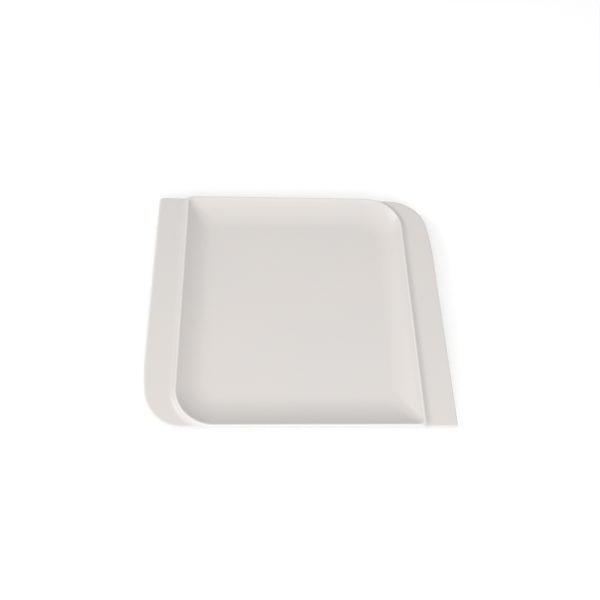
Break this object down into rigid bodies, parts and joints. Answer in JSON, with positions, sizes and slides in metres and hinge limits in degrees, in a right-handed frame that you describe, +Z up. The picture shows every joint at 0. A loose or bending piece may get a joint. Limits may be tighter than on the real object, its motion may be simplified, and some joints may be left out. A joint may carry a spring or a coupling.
{
  "type": "serving dish",
  "caption": "Shallow squarish glazed porcelain serving dish with a raised lip round its well and a flat wing along its left and right sides.",
  "frame": {"origin": "middle of the dish's outline, at the level of the foot ring's standing edge", "axes": "+X from the left wing to the right wing, +Y from the front edge to the back edge, +Z up out of the well"},
  "size_m": [0.24, 0.22, 0.0195],
  "materials": {
    "biscuit_porcelain": "matt, unglazed fired porcelain",
    "white_glaze": "clear gloss glaze over white porcelain"
  },
  "bodies": {
    "root": {"porcelain_body": "biscuit_porcelain", "glaze_coat": "white_glaze", "recess_glaze": "white_glaze"}
  },
  "joints": []
}
